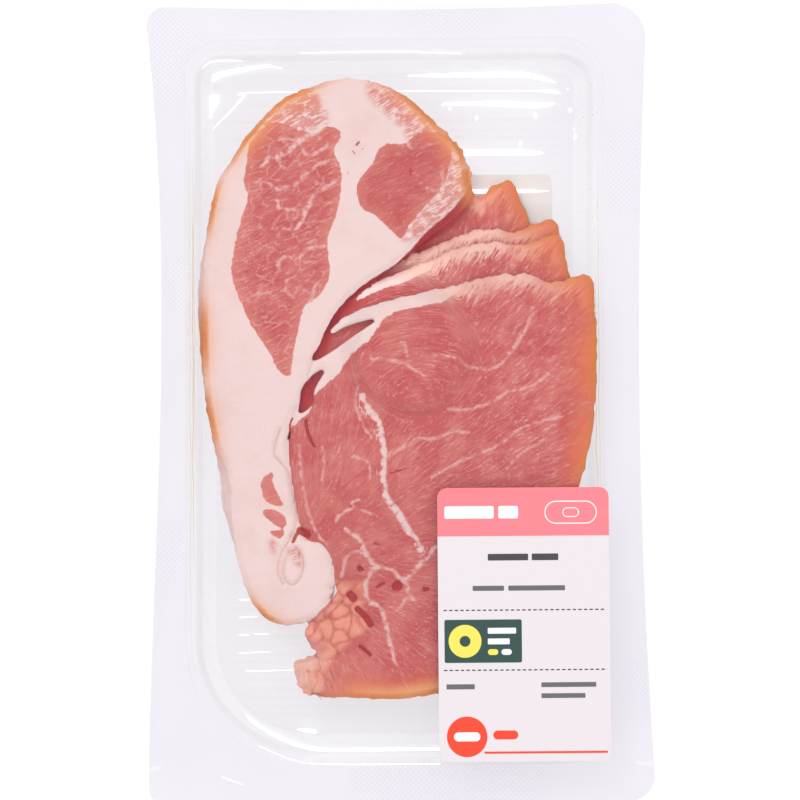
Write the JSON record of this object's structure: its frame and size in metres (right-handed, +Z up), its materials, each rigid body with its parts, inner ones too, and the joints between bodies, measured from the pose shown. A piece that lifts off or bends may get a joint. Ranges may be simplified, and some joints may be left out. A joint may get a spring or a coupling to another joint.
{
  "type": "bacon pack",
  "caption": "Clear formed tray with a sealing flange and ribbed floor, closed by a clear lid film with a label, holding fanned thick-cut bacon slices.",
  "frame": {"origin": "under the middle of the flange, on the plane of the foot that the tray stands on", "axes": "+Z up out of the lid film, +Y along the pack towards its head, +X to the right seen from above"},
  "size_m": [0.1572, 0.25, 0.0172],
  "materials": {
    "tray_plastic": "clear, faintly lavender, gloss",
    "lid_film": "clear, gloss",
    "front_label": "semi-gloss print",
    "back_label": "matt print",
    "bacon": "moist cured meat with pale fat"
  },
  "bodies": {
    "root": {"tray": "tray_plastic", "lid_film": "lid_film", "front_label": "front_label", "back_label": "back_label", "slice_1": "bacon", "slice_2": "bacon", "slice_3": "bacon", "slice_4": "bacon"}
  },
  "joints": []
}
